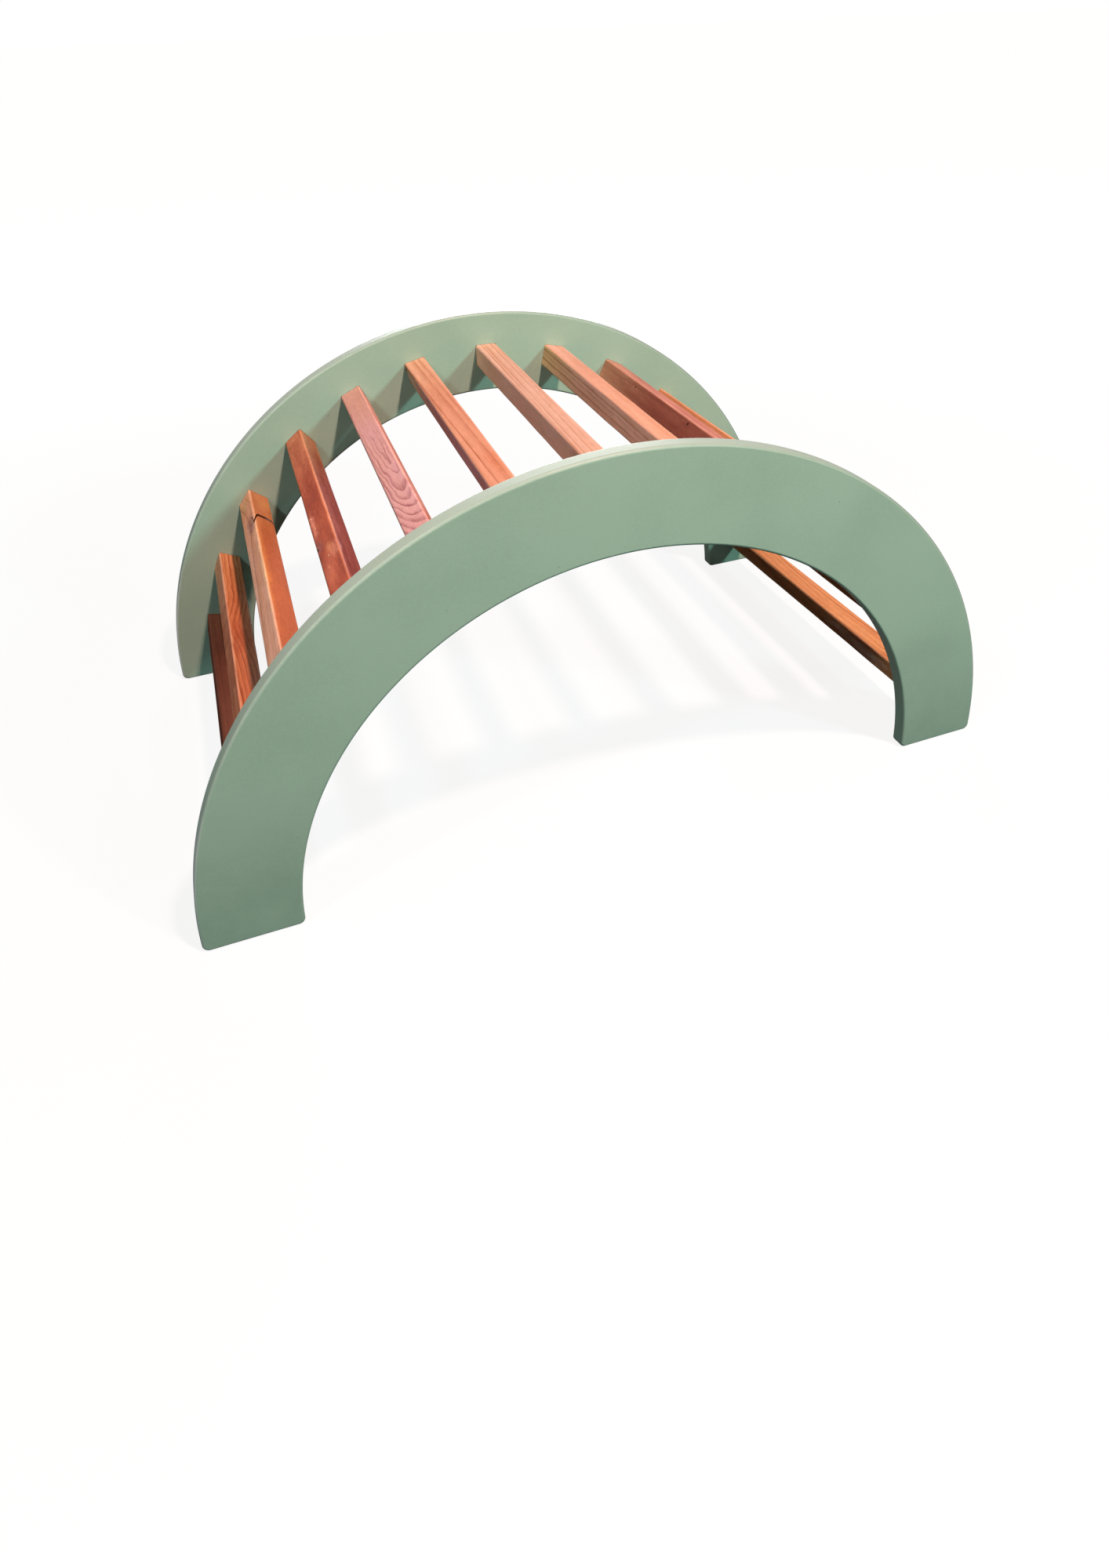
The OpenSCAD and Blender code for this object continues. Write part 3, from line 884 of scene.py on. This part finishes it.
def side_panel(name, side, paint):
    """The panel with its rung pockets, and the screw holes that end in plugs under the paint."""
    piece = new_piece(name, panel_blank(name, side))
    pocket = rounded_square(RUNG_SIDE + 2 * POCKET_GAP, RUNG_EASE_R + POCKET_GAP)
    pocket_floor = INSIDE_W / 2 + POCKET_DEPTH
    depths = (INSIDE_W / 2 - POCKET_START, pocket_floor)
    pockets = solids_along_rungs("pockets", [(side * y, pocket) for y in depths], bar_frame,
                                 at_depth)
    cut(piece, pockets)
    shank_r = SCREW_D / 2 + SCREW_GAP
    head_r = SCREW_HEAD_D / 2 + SCREW_GAP
    hole = [(pocket_floor - HOLE_START, shank_r), (SCREW_TOP - head_r + shank_r, shank_r),
            (SCREW_TOP, head_r), (SCREW_TOP, PLUG_D / 2), (PANEL_OUTSIDE - PAINT_T, PLUG_D / 2)]
    holes = solids_along_rungs("screw_holes", [(side * y, circle(r)) for y, r in hole],
                               lambda i: rung_frame(i, -side * RUNG_SKEW))
    cut(piece, holes)
    smooth(piece)
    piece.data.materials.clear()
    piece.data.materials.append(paint)
    return piece


def screw_plugs(name, side, beech):
    """Flush plugs, sanded off just under the paint, their inner ends lightly chamfered."""
    r = PLUG_D / 2 - PLUG_SLACK
    rows = [(SCREW_TOP + PLUG_SLACK, r - PLUG_CHAMFER), (SCREW_TOP + PLUG_CHAMFER, r),
            (PANEL_OUTSIDE - PAINT_T - PLUG_SLACK, r)]
    mesh = solids_along_rungs(name, [(side * y, circle(r)) for y, r in rows],
                              lambda i: rung_frame(i, -side * RUNG_SKEW))
    piece = new_piece(name, mesh)
    smooth(piece)
    mesh.materials.append(beech)
    return piece


# ---- Rungs


def rung_rows(split):
    """Depths of the mesh's rows along the bar, closer together round a split."""
    count = round(RUNG_LEN / ROW_STEP)
    rows = [RUNG_LEN * (k / count - 0.5) for k in range(count + 1)]
    if split:
        y, half = split["y"], split["half"]
        fine = [d for d in range(-SPLIT_BELOW, SPLIT_ABOVE + 1, SPLIT_ROW) if abs(d) > 2 * half]
        wall = (GAP_FLOOR, (GAP_FLOOR + GAP_EDGE) / 2, GAP_EDGE)
        fine += [side * half * share for side in (-1, 1) for share in wall] + [0]
        low, high = y - SPLIT_BELOW - SPLIT_ROW / 2, y + SPLIT_ABOVE + SPLIT_ROW / 2
        rows = [r for r in rows if not low < r < high] + [y + d for d in fine]
    return sorted(rows)


def with_split(split, x, y, z):
    """Draws a point of the bar along with the split, and down into it."""
    beside = y - split["y"]
    reach = SPLIT_ABOVE if beside > 0 else SPLIT_BELOW
    pull = max(0, 1 - abs(beside) / reach)
    on_side = min(max((GAP_FROM - z) / (GAP_FROM - GAP_TO), 0), 1)
    past_floor = max(0, abs(beside) / split["half"] - GAP_FLOOR)
    gap = max(0, 1 - past_floor / (GAP_EDGE - GAP_FLOOR))
    shrink = 1 - split["deep"] * gap * on_side ** 2 / (RUNG_SIDE / 2)
    along = y + pull * on_side * (split_path(split, x) - split["y"])
    return x * shrink, along, z * shrink


def rung_mesh(i, split):
    """A planed bar with eased edges. Its faces waver a little, and its edges were eased by hand,
    so that their radius changes along the bar. Each bar reads its own part of the noise."""
    rows = rung_rows(split)
    points = []
    for y in rows:
        in_pocket = abs(y) > INSIDE_W / 2
        wear = 0 if in_pocket else 0.5 + 0.5 * noise.noise(Vector((i * 9.1, y / EASE_WAVE, 0.5)))
        for x, z in rounded_square(RUNG_SIDE, RUNG_EASE_R + MORE_EASE * wear, FACE_STEPS):
            dip = 0
            if not in_pocket:
                spot = Vector((x / WAVE_ACROSS + i * 5.3, y / WAVE_ALONG, z / WAVE_ACROSS))
                dip = WAVER * (1 + noise.noise(spot))
            scale = 1 - dip / (RUNG_SIDE / 2)
            point = (x * scale, y, z * scale)
            if split:
                point = with_split(split, *point)
            points.append(at_depth(*point))
    faces = tube_faces(len(rows), len(points) // len(rows))
    return mesh_from("rung_%02d_bar" % i, points, faces)


# ---- Putting the arch together

paint = satin_sage_paint()
beech = beech_plug_wood()
steel = zinc_plated_steel()

for end, side in (("front", -1), ("back", 1)):
    panel = side_panel(end + "_side_panel_painted", side, paint)
    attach(panel, "root")
    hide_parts(end + "_side_panel")
    plugs = screw_plugs(end + "_screw_plugs_sanded", side, beech)
    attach(plugs, "root")
    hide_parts(end + "_screw_plugs")
    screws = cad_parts[end + "_screws"]
    for slot in screws.material_slots:
        slot.material = steel

for i, own in BARS.items():
    wood = PLAIN_BAR | own
    mesh = rung_mesh(i, wood["split"])
    mesh.materials.append(oiled_softwood("oiled_softwood_%02d" % i, wood))
    bar = new_piece("rung_%02d_bar" % i, mesh, bar_frame(i))
    smooth(bar)
    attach(bar, "root")
    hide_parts("rung_%02d" % i)


# ---- Floor, lamps and world

# In millimetres: the floor reaches to the horizon, and lies just below the feet
FLOOR_HALF = 60000
FLOOR_DROP = 0.5


def pale_floor():
    """Matt studio floor: seen as near white, with the arch's shadow on it."""
    material, node = new_material("pale_matt_floor")
    rays = node("LightPath").outputs
    seen = node("Math", rays["Is Camera Ray"], rays["Is Transmission Ray"], operation="MAXIMUM")
    # Glossy rays see it more dimly, so that the satin paint isn't washed out just above it
    seen = node("Math", rays["Is Glossy Ray"], 0.15, seen, operation="MULTIPLY_ADD")
    matt = node("BsdfDiffuse", hex_colour("#50595D"))
    # The floor glows more from half a metre to 3 m away, where the lamps no longer reach it
    away = node("VectorMath", node("TexCoord").outputs["Object"], operation="LENGTH")
    level = node("MapRange", away, 0.5, 3, 0.89, 1.01, interpolation_type="SMOOTHSTEP")
    glow = node("Emission", hex_colour("#FFFDFC"), level)
    pale = node("AddShader", matt, glow)
    dim = node("BsdfDiffuse", hex_colour("#2E302B"))
    node("OutputMaterial", node("MixShader", seen, dim, pale))
    return material


corners = [(x * FLOOR_HALF, y * FLOOR_HALF, -FLOOR_DROP)
           for x, y in ((-1, -1), (1, -1), (1, 1), (-1, 1))]
floor_mesh = mesh_from("floor", corners, [(0, 1, 2, 3)])
floor_mesh.materials.append(pale_floor())
new_piece("floor", floor_mesh)


def lamp(name, place, target, size, power, colour):
    """A round lamp that faces its target."""
    data = bpy.data.lights.new(name, "AREA")
    data.shape = "DISK"
    data.size = size
    data.energy = power
    data.color = hex_colour(colour)[:3]
    light = bpy.data.objects.new(name, data)
    light.location = place
    light.rotation_euler = (Vector(target) - Vector(place)).to_track_quat("-Z", "Y").to_euler()
    bpy.context.scene.collection.objects.link(light)


# Places and sizes in metres, powers in watts
lamp("ceiling_lamp_main", (0.53, -1.15, 2.6), (0, 0, 0.3), 0.18, 94, "#FFD3C5")
lamp("ceiling_lamp_front", (2.0, -3.0, 2.2), (0, 0, 0.3), 0.4, 71, "#C6FFF8")
lamp("ceiling_lamp_left", (-1.9, -1.2, 2.6), (0, 0, 0.3), 0.3, 30, "#E6FBFF")
lamp("back_lamp", (0.9, 3.7, 0.95), (0, 0, 0.2), 2.2, 100, "#F4FBFF")

# The room's own light is dim, but what is seen of it, also in reflections, is white
world = bpy.data.worlds.new("studio")
world.use_nodes = True
world.node_tree.nodes.clear()
node = functools.partial(add, world.node_tree)
rays = node("LightPath").outputs
seen = node("Math", rays["Is Camera Ray"], rays["Is Glossy Ray"], operation="MAXIMUM")
seen = node("Math", seen, rays["Is Transmission Ray"], operation="MAXIMUM")
room = node("Background", hex_colour("#E4F0F0"), 0.07)
white = node("Background", grey(1), 1)
node("OutputWorld", node("MixShader", seen, room, white))
bpy.context.scene.world = world

bpy.context.scene.view_settings.view_transform = "Standard"
